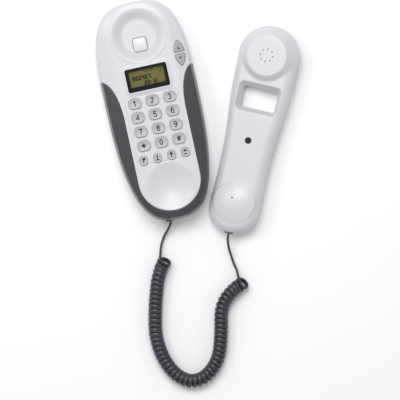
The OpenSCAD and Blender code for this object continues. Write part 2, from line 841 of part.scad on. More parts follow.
module cord_lead_handset() {
    color(cord_grey) swept_tube(
        concat([coil_end, coil_end + 3 * heading(coil_route, len(coil_route) - 1)],
            handset_lead_route, [handset_tail, handset_exit]),
        cord_t / 2, cord_w / 2, 8);
}

rear_cover();
side_band();
front_cover();
display_bezel();
display_lens();
lcd_panel();
lcd_connector();
key_1();
key_2();
key_3();
key_4();
key_5();
key_6();
key_7();
key_8();
key_9();
key_star();
key_0();
key_hash();
func_key_1();
func_key_2();
func_key_3();
func_key_4();
key_up();
key_down();
keypad_mat();
main_board();
hook_plunger();
hook_spring();
hook_switch();
ringer_disc();
ringer_slider();
dial_mode_slider();
battery_door();
batteries();
battery_contacts();
line_jack();
base_jack();
base_plug();
cover_screws();
rubber_pads();
handset_inner_shell();
handset_outer_shell();
receiver_capsule();
receiver_gasket();
microphone();
microphone_boot();
handset_weight();
handset_jack();
handset_plug();
handset_screw();
screw_plug();
base_wiring();
handset_wiring();
cord_lead_base();
cord_coil();
cord_lead_handset();
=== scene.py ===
"""Slimline wall phone: the base on its back, its handset beside it, and the curly cord between them."""

import math

import bmesh
import bpy
from mathutils import Euler, Matrix, Vector


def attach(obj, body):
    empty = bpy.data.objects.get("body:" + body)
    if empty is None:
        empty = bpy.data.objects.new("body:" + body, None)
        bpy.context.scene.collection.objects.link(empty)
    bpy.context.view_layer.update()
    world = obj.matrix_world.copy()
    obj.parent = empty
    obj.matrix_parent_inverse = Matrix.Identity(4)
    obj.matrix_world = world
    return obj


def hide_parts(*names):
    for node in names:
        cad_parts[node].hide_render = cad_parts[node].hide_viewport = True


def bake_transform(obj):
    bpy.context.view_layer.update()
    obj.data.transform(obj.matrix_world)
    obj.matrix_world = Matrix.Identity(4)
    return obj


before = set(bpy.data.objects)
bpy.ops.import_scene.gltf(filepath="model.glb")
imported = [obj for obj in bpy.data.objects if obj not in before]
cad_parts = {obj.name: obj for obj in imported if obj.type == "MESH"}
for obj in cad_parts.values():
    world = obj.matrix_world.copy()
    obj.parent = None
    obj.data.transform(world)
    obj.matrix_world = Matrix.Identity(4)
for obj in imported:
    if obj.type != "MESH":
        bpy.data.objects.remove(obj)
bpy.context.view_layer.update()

MM = 0.001

# ---- Sizes in millimetres, as in the solid model ----

BASE_HALF_W = 47.6
BASE_HALF_L = 111.5
BASE_TOP = 34.0
WAIST_Y = 22.0
TOP_POWER, FOOT_POWER = 3.05, 2.85
REAR_H = 13.0
PANEL_HALF_W = 31.5
PANEL_FOOT_Y = -70.5
SPINE_TOP_Y = 77.0
SPINE_R = 31.2
FLARE_Y, FLARE_W, FLARE_POWER, TIP_Y = -5.0, 16.1, 2.15, 38.5
COVER_WALL = 2.2
SHOULDER_SLOPE = 0.36
WALL_RUN, WALL_SLOPE, WALL_ROUND = 2.4, 4.2, 2.4

EAR_DISH = (77.0, 26.6, 15.5, 5.4)  # y, rim radius, floor radius, depth
MOUTH_DISH = (-77.5, 24.0, 4.4)  # y, rim radius, depth
PAD_Y, PAD_HALF_W, PAD_HALF_D, PAD_CORNER = -17.2, 27.4, 34.6, 6.0

DISPLAY_Y, DISPLAY_W, DISPLAY_D = 33.75, 42.5, 23.5
KEYS_Y, KEY_PITCH_X, KEY_PITCH_Y = 10.9, 17.9, 14.4
KEY_W, KEY_D, KEY_TOP = 13.0, 10.6, 36.6
FUNC_Y, FUNC_PITCH, FUNC_W, FUNC_D = -46.9, 14.3, 8.2, 9.4
ARROW_X, ARROW_Y, ARROW_HALF_W, ARROW_HALF_L, ARROW_SPLIT = 36.9, 51.2, 5.3, 13.5, 2.4
ARROW_GAP, KEY_CUT, HOOK_GAP = 0.3, 0.2, 0.4
HOOK_Y, HOOK_W, HOOK_D, HOOK_TOP = 67.5, 14.0, 15.0, 31.5

HANDSET_AT = Vector((94.1, -40.8, 1.4))
HANDSET_YAW, HANDSET_ROLL = -25.3, -11.0
HANDSET_H, SEAM_Z, CROWN_R = 22.0, 11.0, 60.0
HANDSET_EAR_Y, HANDSET_MOUTH_Y = 75.5, -80.5
WAIST = [
    (-80.5, 26.0), (-64, 25.4), (-47, 24.9), (-27, 25.2), (-7, 26.2), (13, 28.2), (33, 30.0), (52, 30.9),
    (75.5, 31.0),
]
EAR_Y, EAR_R, EAR_TOP_R, EAR_RISE = 75.6, 27.0, 20.5, 6.0
MOUTH_Y, MOUTH_R, MOUTH_RISE = -75.0, 22.0, 5.0
WINDOW_Y, WINDOW_W, WINDOW_D = 31.6, 36.0, 21.5
PLUG_Y, PLUG_R, PLUG_GAP = -11.5, 3.3, 0.12
SOUND_RING_R, SOUND_HOLE_R, MOUTH_HOLE_X = 6.5, 0.95, -2.0

CORD_W, CORD_T, COIL_R, COIL_PITCH = 4.4, 2.4, 7.1, 4.8
COIL_ROUTE = [
    (-21.5, -149.5, 7.4), (-26, -154.5, 7.4), (-30, -161, 7.4), (-34, -169.5, 7.4),
    (-37.5, -180, 7.4), (-41, -191.5, 7.4), (-44, -204, 7.4), (-46.5, -216.5, 7.4),
    (-47, -229, 7.4), (-45.5, -241.5, 7.4), (-41.5, -254.5, 7.4), (-34.5, -266, 7.4),
    (-23.5, -274, 7.4), (-10.5, -274, 7.4), (0.5, -267.5, 7.4), (8, -259, 7.4),
    (12.5, -250, 7.4), (16, -239, 7.4), (19, -227.5, 7.4), (21.5, -216, 7.4),
    (25.5, -206.5, 7.4), (32, -199, 7.4), (40.5, -193, 7.4), (50.5, -188.5, 7.4),
]
BASE_LEAD = [
    (-8.5, -112.2, 7), (-8.5, -114, 7), (-10.5, -117.5, 6), (-14.2, -121.8, 4.4),
    (-17.5, -125.5, 3.4), (-20.5, -130, 2.8), (-23, -135.2, 2.6), (-24.6, -140, 3.4),
]
HANDSET_LEAD = [
    (46.5, -175.5, 3.2), (45.2, -169, 2.6), (44.4, -162, 2.7),
    (43.8, -156, 4), (43.5, -151, 6.2), (43.7, -146, 9.4),
]
COIL_LEAN = 40.0  # degrees that the coil's last turns lean back, open to the front
LEAN_TURNS = 3.2
FIRST_ANGLE, LAST_ANGLE = 20.0, 90.0
TURN_POINTS = 24


# ---- Small helpers ----


def smooth(low, high, x):
    """0 below low, 1 above high, and an even S between them."""
    t = min(1.0, max(0.0, (x - low) / (high - low)))
    return t * t * (3 - 2 * t)


def mix(a, b, t):
    return a + (b - a) * t


def round_drop(r, e):
    """How far a quarter-round edge of radius r has fallen at distance e in from its rim."""
    if e >= r:
        return 0.0
    e = max(e, 0.0)
    return r - math.sqrt(max(0.0, r * r - (r - e) ** 2))


def box_distance(x, y, half_w, half_d, corner):
    """Signed distance to a rounded rectangle about the origin."""
    dx, dy = abs(x) - half_w + corner, abs(y) - half_d + corner
    return math.hypot(max(dx, 0), max(dy, 0)) + min(max(dx, dy), 0) - corner


def spaced(low, high, step):
    n = max(1, round((high - low) / step))
    return [low + (high - low) * k / n for k in range(n + 1)]


def soft_max(a, b, width):
    """The larger of two heights, with a fillet about as wide as width."""
    h = max(width - abs(a - b), 0.0) / width
    return max(a, b) + h * h * width / 4


def soft_min(a, b, width):
    return -soft_max(-a, -b, width)


def curve_through(points, per_span):
    """A smooth line through the points (Catmull-Rom, even speed in each span)."""
    pts = [Vector(p) for p in points]
    pts = [2 * pts[0] - pts[1]] + pts + [2 * pts[-1] - pts[-2]]
    line = []
    for i in range(1, len(pts) - 2):
        a, b, c, d = pts[i - 1 : i + 3]
        for k in range(per_span):
            t = k / per_span
            bend = (2 * a - 5 * b + 4 * c - d) * t * t + (3 * b - a - 3 * c + d) * t**3
            line.append(0.5 * (2 * b + (c - a) * t + bend))
    return line + [pts[-2]]


def resample(line, step):
    """Points an even step apart along a line."""
    out, left = [line[0].copy()], step
    for a, b in zip(line, line[1:]):
        span = (b - a).length
        while span >= left:
            a = a + (b - a) * (left / span)
            out.append(a.copy())
            span = (b - a).length
            left = step
        left -= span
    if (out[-1] - line[-1]).length > 0.3 * step:
        out.append(line[-1].copy())
    else:
        out[-1] = line[-1].copy()
    return out


def piece_from(bm, name, materials, place=None):
    """Turn a bmesh in millimetres into a named object in metres."""
    bmesh.ops.recalc_face_normals(bm, faces=bm.faces)
    mesh = bpy.data.meshes.new(name)
    bm.transform(Matrix.Scale(MM, 4) @ (place or Matrix.Identity(4)))
    bm.to_mesh(mesh)
    bm.free()
    for m in materials:
        mesh.materials.append(m)
    obj = bpy.data.objects.new(name, mesh)
    bpy.context.scene.collection.objects.link(obj)
    mesh.shade_smooth()
    mesh.set_sharp_from_angle(angle=math.radians(38))
    return obj


def fit(obj, body, slot, *nodes):
    """Seat a finished piece on its body, in place of the solids it stands for."""
    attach(obj, body)
    if nodes:
        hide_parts(*nodes)
    return obj


def skin(bm, rings, closed=True):
    """Faces between rings of vertices that all have the same count."""
    n = len(rings[0])
    for a, b in zip(rings, rings[1:]):
        for k in range(n if closed else n - 1):
            quad = [a[k], a[(k + 1) % n], b[(k + 1) % n], b[k]]
            kept = [v for i, v in enumerate(quad) if v is not quad[i - 1]]
            if len(kept) > 2:
                bm.faces.new(kept)


def carve(obj, cutters, name):
    """Cut a joined set of closed shapes out of a piece."""
    tool = piece_from(cutters, name, [])
    mod = obj.modifiers.new("cut", "BOOLEAN")
    mod.operation, mod.solver, mod.object = "DIFFERENCE", "EXACT", tool
    graph = bpy.context.evaluated_depsgraph_get()
    mesh = bpy.data.meshes.new_from_object(obj.evaluated_get(graph))
    obj.modifiers.clear()
    old, obj.data = obj.data, mesh
    bpy.data.meshes.remove(old)
    bpy.data.objects.remove(tool, do_unlink=True)
    mesh.shade_smooth()
    mesh.set_sharp_from_angle(angle=math.radians(38))


def prism(bm, outline, low, high):
    """A straight-sided closed shape over an outline."""
    rings = [[bm.verts.new((x, y, z)) for x, y in outline] for z in (low, high)]
    skin(bm, rings)
    bm.faces.new(rings[0])
    bm.faces.new(rings[1])


def disc_points(x, y, r, n=32):
    return [(x + r * math.cos(2 * math.pi * k / n), y + r * math.sin(2 * math.pi * k / n)) for k in range(n)]


def slab_points(x, y, half_w, half_d, corner, per_corner=6):
    """A rounded rectangle's outline."""
    out = []
    for sx, sy, start in ((1, 1, 0), (-1, 1, 90), (-1, -1, 180), (1, -1, 270)):
        for k in range(per_corner + 1):
            a = math.radians(start + 90 * k / per_corner)
            cx, cy = x + sx * (half_w - corner), y + sy * (half_d - corner)
            out.append((cx + corner * math.cos(a), cy + corner * math.sin(a)))
    return out


# ---- Finishes ----


class Sock:
    """A shader socket that takes part in sums."""

    def __init__(self, tree, socket):
        self.tree, self.socket = tree, socket

    def _math(self, operation, a, b=None):
        node = self.tree.nodes.new("ShaderNodeMath")
        node.operation = operation
        for i, v in enumerate((a, b)):
            if isinstance(v, Sock):
                self.tree.links.new(v.socket, node.inputs[i])
            elif v is not None:
                node.inputs[i].default_value = v
        return Sock(self.tree, node.outputs[0])

    def __add__(self, o):
        return self._math("ADD", self, o)

    def __radd__(self, o):
        return self._math("ADD", o, self)

    def __sub__(self, o):
        return self._math("SUBTRACT", self, o)

    def __rsub__(self, o):
        return self._math("SUBTRACT", o, self)

    def __mul__(self, o):
        return self._math("MULTIPLY", self, o)

    def __rmul__(self, o):
        return self._math("MULTIPLY", o, self)


class Finish:
    """One material under construction."""

    def __init__(self, name):
        self.material = bpy.data.materials.new(name)
        self.material.use_nodes = True
        self.tree = self.material.node_tree
        self.shader = self.tree.nodes["Principled BSDF"]

    def node(self, kind, settings, values, output=0):
        """Any node but Math: its settings first, then its sockets' values or links, by name or number."""
        made = self.tree.nodes.new(kind)
        for key, value in settings.items():
            setattr(made, key, value)
        for key, value in values.items():
            self.feed(made.inputs[key], value)
        return Sock(self.tree, made.outputs[output])

    def feed(self, socket, value):
        if isinstance(value, Sock):
            self.tree.links.new(value.socket, socket)
        else:
            socket.default_value = value

    def noise(self, scale, detail=3.0, roughness=0.55):
        place = self.node("ShaderNodeTexCoord", {}, {}, output=3)
        values = {"Vector": place, "Scale": scale, "Detail": detail, "Roughness": roughness}
        return self.node("ShaderNodeTexNoise", {}, values)

    def blend(self, factor, a, b):
        return self.node("ShaderNodeMix", {"data_type": "RGBA"}, {0: factor, 6: a, 7: b}, output=2)

    def ramp(self, value, low, high):
        return self.node("ShaderNodeMapRange", {}, {"Value": value, "From Min": low, "From Max": high})

    def grain(self, height, strength, distance):
        return self.node("ShaderNodeBump", {}, {"Height": height, "Strength": strength, "Distance": distance})

    def set(self, **sockets):
        for key, value in sockets.items():
            self.feed(self.shader.inputs[key.replace("_", " ")], value)
        return self.material


def rgb(r, g, b):
    return (r, g, b, 1.0)


def moulded(name, tone, dark, rough, grain_scale=900.0, grain=0.12, coat=0.0, spread=0.06, shine=0.5):
    """Moulded plastic: slow colour drift, fine moulding grain and faint handling marks in the gloss."""
    f = Finish(name)
    drift = f.ramp(f.noise(14.0), 0.35, 0.7)
    marks = f.noise(120.0, 4.0)
    height = f.noise(grain_scale, 2.0) + f.noise(45.0, 1.0) * 0.6
    return f.set(
        Base_Color=f.blend(drift, rgb(*tone), rgb(*dark)),
        Roughness=marks * spread + (rough - spread / 2),
        Specular_IOR_Level=shine,
        Coat_Weight=coat,
        Coat_Roughness=0.2,
        Normal=f.grain(height, grain, 0.00008),
    )


shell_white = moulded("shell_white", (0.63, 0.637, 0.665), (0.61, 0.617, 0.645), 0.36, coat=0.12)
plunger_white = moulded("plunger_white", (0.7, 0.7, 0.715), (0.68, 0.68, 0.7), 0.3, coat=0.2)
band_grey = moulded(
    "band_grey", (0.05, 0.051, 0.056), (0.044, 0.045, 0.05), 0.34, grain_scale=1400.0, grain=0.3, coat=0.12
)
key_grey = moulded("key_grey", (0.46, 0.465, 0.48), (0.43, 0.435, 0.45), 0.42, grain=0.2)
arrow_grey = moulded("arrow_grey", (0.42, 0.42, 0.44), (0.37, 0.37, 0.39), 0.38, grain=0.2)
ink_black = moulded("ink_black", (0.004, 0.004, 0.005), (0.008, 0.008, 0.01), 0.5, shine=0.15)
black_plastic = moulded("black_plastic", (0.004, 0.004, 0.005), (0.007, 0.007, 0.008), 0.36, shine=0.12)
cord_rubber = moulded(
    "cord_rubber", (0.042, 0.041, 0.056), (0.034, 0.033, 0.046), 0.36, grain_scale=700.0, grain=0.25
)
soft_rubber = moulded(
    "soft_rubber", (0.011, 0.011, 0.012), (0.017, 0.017, 0.018), 0.6, grain=0.35, shine=0.25
)
board_green = moulded("board_green", (0.03, 0.12, 0.05), (0.02, 0.08, 0.035), 0.4)
cell_wrap = moulded("cell_wrap", (0.1, 0.14, 0.22), (0.08, 0.11, 0.18), 0.3)
clear_plug = moulded("clear_plug", (0.07, 0.068, 0.08), (0.05, 0.05, 0.06), 0.2, coat=0.4)
wire_red = moulded("wire_red", (0.45, 0.05, 0.04), (0.38, 0.04, 0.035), 0.4)


def metal(name, tone, rough):
    f = Finish(name)
    streak = f.noise(260.0, 2.0)
    return f.set(
        Base_Color=f.blend(streak, rgb(*tone), rgb(*[c * 0.8 for c in tone])),
        Metallic=1.0,
        Roughness=streak * 0.15 + rough,
    )


steel = metal("steel", (0.62, 0.62, 0.64), 0.25)
brass = metal("brass", (0.7, 0.52, 0.25), 0.28)


def liquid_crystal():
    f = Finish("lcd_olive")
    cloud = f.ramp(f.noise(60.0), 0.3, 0.75)
    return f.set(
        Base_Color=f.blend(cloud, rgb(0.19, 0.182, 0.056), rgb(0.16, 0.155, 0.05)),
        Roughness=f.noise(300.0) * 0.1 + 0.4,
        Specular_IOR_Level=0.15,
    )


lcd_olive = liquid_crystal()
lcd_ink = moulded("lcd_ink", (0.008, 0.008, 0.005), (0.014, 0.013, 0.008), 0.5, shine=0.1)


def window_clear():
    f = Finish("lens_clear")
    haze = f.noise(200.0)
    return f.set(Base_Color=rgb(0.02, 0.02, 0.02), Roughness=haze * 0.04 + 0.06, Alpha=haze * 0.02 + 0.05)


lens_clear = window_clear()

# ---- Camera, floor and light ----


def aim(obj, at, up):
    """Point an object's -Z at a place, with its +Y as near up as it goes."""
    back = (obj.location - at).normalized()
    right = Vector(up).cross(back).normalized()
    obj.rotation_euler = Matrix((right, back.cross(right), back)).transposed().to_euler()


VIEW_CENTRE = Vector((25.3, -98.0, 0)) * MM
VIEW_UP = Vector((0.2131, 0.977, 0))
VIEW_PITCH = math.radians(-1.2)
VIEW_DISTANCE = 4.0
VIEW_WIDTH = 0.4044

camera_data = bpy.data.cameras.new("camera")
camera = bpy.data.objects.new("camera", camera_data)
bpy.context.scene.collection.objects.link(camera)
bpy.context.scene.camera = camera
camera_data.sensor_width = 36
camera_data.lens = 36 * VIEW_DISTANCE / VIEW_WIDTH
camera_data.clip_end = 20
view_way = Vector((0, 0, math.cos(VIEW_PITCH))) - VIEW_UP * math.sin(VIEW_PITCH)
camera.location = VIEW_CENTRE + VIEW_DISTANCE * view_way
aim(camera, VIEW_CENTRE, VIEW_UP)


FLOOR_HALF, FLOOR_DROP = 6.0, 0.0002


def make_floor():
    bm = bmesh.new()
    bmesh.ops.create_grid(bm, x_segments=8, y_segments=8, size=FLOOR_HALF / MM)
    floor = piece_from(bm, "floor", [])
    f = Finish("floor_paper")
    tone = f.noise(3.0)
    paper = f.blend(tone, rgb(0.95, 0.95, 0.95), rgb(0.96, 0.96, 0.96))
    floor.data.materials.append(f.set(Base_Color=paper, Roughness=tone * 0.1 + 0.85))
    floor.location = (0, 0, -FLOOR_DROP)


def make_lights():
    world = bpy.data.worlds.new("studio")
    bpy.context.scene.world = world
    world.use_nodes = True
    sky = world.node_tree.nodes["Background"]
    sky.inputs["Color"].default_value = (1, 1, 1, 1)
    sky.inputs["Strength"].default_value = 0.52
    for name, tilt, turn, distance, size, power in (
        ("key_light", 25, 8, 1.6, 0.7, 13.0),
        ("side_light", 38, 62, 1.6, 0.5, 4.2),
    ):
        data = bpy.data.lights.new(name, "AREA")
        data.shape, data.size, data.energy = "SQUARE", size, power
        lamp = bpy.data.objects.new(name, data)
        bpy.context.scene.collection.objects.link(lamp)
        side = Matrix.Rotation(math.radians(turn), 3, "Z") @ VIEW_UP
        way = side * math.sin(math.radians(tilt)) + Vector((0, 0, math.cos(math.radians(tilt))))
        lamp.location = VIEW_CENTRE + distance * way
        lamp.visible_camera = False
        aim(lamp, VIEW_CENTRE, VIEW_UP)
    bpy.context.scene.view_settings.view_transform = "Standard"


make_floor()
make_lights()

# ---- Handset frame ----

YAW_TURN = Euler((0, 0, math.radians(HANDSET_YAW))).to_matrix()
HANDSET_TURN = YAW_TURN @ Euler((0, math.radians(HANDSET_ROLL), 0)).to_matrix()
HANDSET_PLACE = Matrix.Translation(HANDSET_AT) @ HANDSET_TURN.to_4x4()

# ---- Curly cord ----


def coil_frames():
    """Even steps along the coil: its centre, heading and lean, for each point of the wire."""
    axis = resample(curve_through(COIL_ROUTE, 12), 0.25)
    last = len(axis) - 1
    turns = round(0.25 * last / COIL_PITCH) + (LAST_ANGLE - FIRST_ANGLE) / 360
    count = round(turns * TURN_POINTS)
    for k in range(count + 1):
        s = k / count * last
        i = min(int(s), last - 1)
        along = (axis[min(last, i + 9)] - axis[max(0, i - 8)]).normalized()
        to_start, to_end = k / TURN_POINTS, (count - k) / TURN_POINTS
        lean = 1 - smooth(0, LEAN_TURNS, min(to_start, to_end))
        lean *= math.radians(COIL_LEAN) * (1 if to_start < to_end else -1)
        angle = math.radians(FIRST_ANGLE) + 2 * math.pi * turns * k / count
        yield axis[i].lerp(axis[i + 1], s - i), along, lean, angle


def cord_rings():
    """The cord's centreline and, at each point, the way its width runs."""
    up = Vector((0, 0, 1))
    wire_r = COIL_R - CORD_T / 2
    coil, widths = [], []
    for centre, along, lean, angle in coil_frames():
        side = along.cross(up).normalized()
        rise = up * math.cos(lean) + along * math.sin(lean)
        across = along * math.cos(lean) - up * math.sin(lean)
        reach = COIL_R * math.cos(lean) + CORD_W / 2 * abs(math.sin(lean))
        middle = Vector((centre.x, centre.y, centre.z - COIL_R + reach))
        coil.append(middle + wire_r * (math.cos(angle) * side + math.sin(angle) * rise))
        widths.append(across)
    exit_point = HANDSET_PLACE @ Vector((0, -107.2, SEAM_Z))
    tail = HANDSET_PLACE @ Vector((0, -111.2, SEAM_Z))
    lead_in = curve_through([*BASE_LEAD, coil[0], coil[4]], 12)[: -12]
    lead_out = curve_through([coil[-5], coil[-1], *HANDSET_LEAD, tail, exit_point], 12)[12:]
    lead_in, lead_out = resample(lead_in, 1.0)[:-1], resample(lead_out, 1.0)[1:]
    ease_in = [widths[0].lerp(-up, smooth(0, 9, len(lead_in) - i)) for i in range(len(lead_in))]
    ease_out = [widths[-1].lerp(up, smooth(0, 9, i + 1)) for i in range(len(lead_out))]
    return lead_in + coil + lead_out, ease_in + widths + ease_out


def make_cord():
    path, widths = cord_rings()
    bm = bmesh.new()
    rings = []
    sides = 12
    half_w, half_t = CORD_W / 2, CORD_T / 2
    for i, p in enumerate(path):
        along = (path[min(i + 1, len(path) - 1)] - path[max(i - 1, 0)]).normalized()
        wide = (widths[i] - along * widths[i].dot(along)).normalized()
        thick = along.cross(wide)
        ring = []
        for k in range(sides):
            a = 2 * math.pi * k / sides
            c, s = math.cos(a), math.sin(a)
            x = half_w * math.copysign(abs(c) ** 0.7, c)
            y = half_t * math.copysign(abs(s) ** 0.8, s)
            ring.append(bm.verts.new(p + wide * x + thick * y))
        rings.append(ring)
    skin(bm, rings)
    bm.faces.new(rings[0])
    bm.faces.new(rings[-1])
    cord = piece_from(bm, "curly_cord", [cord_rubber])
    length = sum((b - a).length for a, b in zip(path, path[1:]))
    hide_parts("cord_lead_base", "cord_coil", "cord_lead_handset")
    Vector(BASE_LEAD[0]) * MM
    [p * MM for p in path]
    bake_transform(cord)


make_cord()

# ---- Base shell shape ----


def outline_reach(px, py, dx, dy):
    """Distance from a point to the base's outline along a direction."""
    low, high = 0.0, 130.0
    for _ in range(34):
        mid = (low + high) / 2
        x, y = px + dx * mid, py + dy * mid - WAIST_Y
        power, reach = (TOP_POWER, BASE_HALF_L - WAIST_Y) if y > 0 else (FOOT_POWER, BASE_HALF_L + WAIST_Y)
        inside = (abs(x) / BASE_HALF_W) ** power + (abs(y) / reach) ** power < 1
        low, high = (mid, high) if inside else (low, mid)
    return low


def panel_reach(y):
    """Half-width of the front panel where the side band wraps round it."""
    if y >= TIP_Y:
        return BASE_HALF_W + 10
    if y <= FLARE_Y:
        return PANEL_HALF_W
    t = (y - FLARE_Y) / (TIP_Y - FLARE_Y)
    return PANEL_HALF_W + FLARE_W * (1 - math.sqrt(max(0.0, 1 - t**FLARE_POWER)))


def side_drop(e):
    """How far the front has fallen at distance e in from the outline: a steep wall, then a tight round."""
    return soft_max(0.0, (WALL_RUN - e) * WALL_SLOPE, WALL_ROUND)


def crown(x, y, e):
    """Height of the base's front: flat spine, sloping shoulder, then the side wall near the outline."""
    spine = math.hypot(x, y - min(max(y, PANEL_FOOT_Y), SPINE_TOP_Y)) - SPINE_R
    fall = SHOULDER_SLOPE * soft_max(0.0, spine, 3.0)
    return BASE_TOP - fall - side_drop(e)


def front_height(x, y, e):
    """The front cover's surface, with its two dishes, keypad groove and display frame."""
    z = crown(x, y, e)
    dish_y, rim, floor, depth = EAR_DISH
    r = math.hypot(x, y - dish_y)
    z -= depth * (1 - smooth(floor, rim, r))
    z += 0.35 * math.exp(-(((r - rim - 0.6) / 1.1) ** 2))
    dish_y, rim, depth = MOUTH_DISH
    t = math.hypot(x, y - dish_y) / rim
    if t < 1:
        z -= depth * (1 - t * t) ** 1.2
    groove = box_distance(x, y - PAD_Y, PAD_HALF_W, PAD_HALF_D, PAD_CORNER)
    z -= 0.4 * math.exp(-((groove / 0.45) ** 2)) + 0.15 * (1 - smooth(-0.4, 0.4, groove))
    bezel = box_distance(x, y - DISPLAY_Y, DISPLAY_W / 2 + 1.2, DISPLAY_D / 2 + 1.2, 3.0)
    z += 1.1 * (1 - smooth(-0.3, 2.2, bezel))
    return z


def spokes(low, high, ys, turn_steps):
    """Rays that cover a long round-ended shape: across its middle, and fanned at both ends."""
    right = [((0.0, y), (1.0, 0.0)) for y in ys]
    left = [((0.0, y), (-1.0, 0.0)) for y in reversed(ys)]
    turns = [math.pi * k / turn_steps for k in range(1, turn_steps)]
    fan = [(math.cos(a), math.sin(a)) for a in turns]
    top = [((0.0, high), d) for d in fan]
    foot = [((0.0, low), (-c, -s)) for c, s in fan]
    return right + top + left + foot


def lofted(rays, profile):
    """A closed shell swept round rays; profile gives a ray's (distance, height) points, there and back."""
    bm = bmesh.new()
    rings = []
    for ray in rays:
        (px, py), (dx, dy) = ray
        rings.append([bm.verts.new((px + dx * r, py + dy * r, z)) for r, z in profile(ray)])
    n = len(rings[0])
    for a, b in zip(rings, rings[1:] + rings[:1]):
        for k in range(n - 1):
            bm.faces.new((a[k], a[k + 1], b[k + 1], b[k]))
    bmesh.ops.remove_doubles(bm, verts=bm.verts, dist=0.003)
    return bm


def base_steps():
    """Places along the centre line for the cover's rays, closer where a groove or edge runs across."""
    ys = spaced(PANEL_FOOT_Y, 30, 0.7)[:-1] + spaced(30, TIP_Y, 0.3)[:-1] + spaced(TIP_Y, SPINE_TOP_Y, 0.7)
    for y in (PAD_Y - PAD_HALF_D, PAD_Y + PAD_HALF_D):
        ys += [y + d for d in (-0.5, -0.3, -0.15, 0.0, 0.15, 0.3, 0.5)]
    for y in (DISPLAY_Y - DISPLAY_D / 2 - 1.2, DISPLAY_Y + DISPLAY_D / 2 + 1.2):
        ys += [y + d for d in (-1.6, -0.9, -0.3, 0.3, 0.9, 1.6)]
    ys.sort()
    kept = [ys[0]]
    for y in ys[1:]:
        if y - kept[-1] > 0.1:
            kept.append(y)
    return kept


BASE_STEPS = base_steps()
BASE_RAYS = spokes(PANEL_FOOT_Y, SPINE_TOP_Y, BASE_STEPS, 170)


def is_foot(ray):
    (px, py), (dx, dy) = ray
    return dy < 0 or (dy == 0 and py < TIP_Y)


def cover_profile(ray):
    (px, py), (dx, dy) = ray
    out = outline_reach(px, py, dx, dy)
    reach, foot = out, REAR_H + 0.2
    if is_foot(ray):
        reach = min(out, (panel_reach(py) if dy == 0 else PANEL_HALF_W) - 0.15)
        lip = crown(dx * reach, py + dy * reach, out - reach) - 4
        foot = mix(lip, foot, smooth(TIP_Y - 2.5, TIP_Y, py) if dy == 0 else 0)

    def at(r):
        return front_height(px + dx * r, py + dy * r, out - r)

    n = 54
    rs = [reach * k / n for k in range(n)]
    rim = min(1.0, reach / 10)
    rs += [reach - rim * f for f in (0.55, 0.4, 0.28, 0.18, 0.1, 0.05, 0.02, 0.0)]
    rs += [min(reach, PAD_HALF_W + d) for d in (-0.45, -0.3, -0.15, 0.0, 0.15, 0.3, 0.45)]
    rs += [max(0.0, reach - WALL_RUN + d) for d in (-1.2, -0.6, 0.0, 0.6, 1.2)]
    rs.sort()
    top = [(r, at(r) - round_drop(0.5, reach - r)) for r in rs]
    edge_z = top[-1][1]
    wall = [(reach, mix(edge_z, foot, f)) for f in (0.1, 0.35, 0.7, 1.0)]
    thin = max(reach - COVER_WALL, 0)
    under = [(thin * k / 40, at(thin * k / 40) - COVER_WALL) for k in range(41)]
    inner = [(thin, foot), (thin, mix(foot, under[-1][1], 0.5))]
    return top + wall + inner + under[::-1]


def key_outline(x, y, w, d, grow, turn=False, corner=1.3):
    """A key's plan: a round of diameter w cut flat at depth d, with eased corners. turn stands it on end."""
    r, half = w / 2 + grow, d / 2 + grow
    pts = []
    steps = 72
    for k in range(steps):
        a = 2 * math.pi * k / steps
        c, s = math.cos(a), math.sin(a)
        reach = r
        flat = half / max(abs(s), 1e-6)
        reach = soft_min(reach, flat, corner)
        u, v = reach * c, reach * s
        pts.append((x - v, y + u) if turn else (x + u, y + v))
    return pts


def lens_outline(grow, half):
    """One arrow key's plan: half of a leaf, 1 for the upper and -1 for the lower, with eased corners."""
    arc = (ARROW_HALF_L**2 + ARROW_HALF_W**2) / (2 * ARROW_HALF_W)
    off = arc - ARROW_HALF_W
    flat = ARROW_SPLIT / 2 - grow
    cx, cy = 0.0, 4.8
    pts = []
    for k in range(64):
        a = 2 * math.pi * k / 64
        c, s = math.cos(a), math.sin(a)
        reach = 14.0
        low = 0.0
        for _ in range(24):
            mid = (low + reach) / 2
            x, y = cx + mid * c, cy + mid * s
            gap = soft_max(math.hypot(x + off, y) - arc, math.hypot(x - off, y) - arc, 2.4)
            gap = soft_max(gap, flat + grow - y, 1.4)
            low, reach = (mid, reach) if gap < grow else (low, mid)
        pts.append((ARROW_X + cx + low * c, ARROW_Y + half * (cy + low * s)))
    return pts


def hook_outline(grow):
    """The hook plunger's plan: a square with eased corners and a bowed lower edge."""
    pts = []
    for x, y in slab_points(0, 0, HOOK_W / 2 + grow, HOOK_D / 2 + grow, 2.2 + grow, 6):
        bow = 1.5 * (x / (HOOK_W / 2)) ** 2 if y < 0 else 0.0
        pinch = 1 - 0.04 * (y / HOOK_D)
        pts.append((x * pinch, HOOK_Y + y + bow))
    return pts


def make_front_cover():
    cover = piece_from(lofted(BASE_RAYS, cover_profile), "front_shell", [shell_white])
    tools = bmesh.new()
    low, high = 16, 42
    for i in range(12):
        prism(tools, key_outline(*key_place(i), KEY_W, KEY_D, KEY_CUT), low, high)
    for i in range(4):
        prism(tools, key_outline(*func_place(i), FUNC_D, FUNC_W, KEY_CUT, turn=True), low, high)
    for half in (1, -1):
        prism(tools, lens_outline(ARROW_GAP, half), low, high)
    prism(tools, hook_outline(HOOK_GAP), low, high)
    prism(tools, slab_points(0, DISPLAY_Y, DISPLAY_W / 2 + 0.15, DISPLAY_D / 2 + 0.15, 2.2), low, high)
    carve(cover, tools, "cover_cutters")
    fit(cover, "base", "shell_white", "front_cover")


def key_place(i):
    return ((i % 3 - 1) * KEY_PITCH_X, KEYS_Y - (i // 3) * KEY_PITCH_Y)


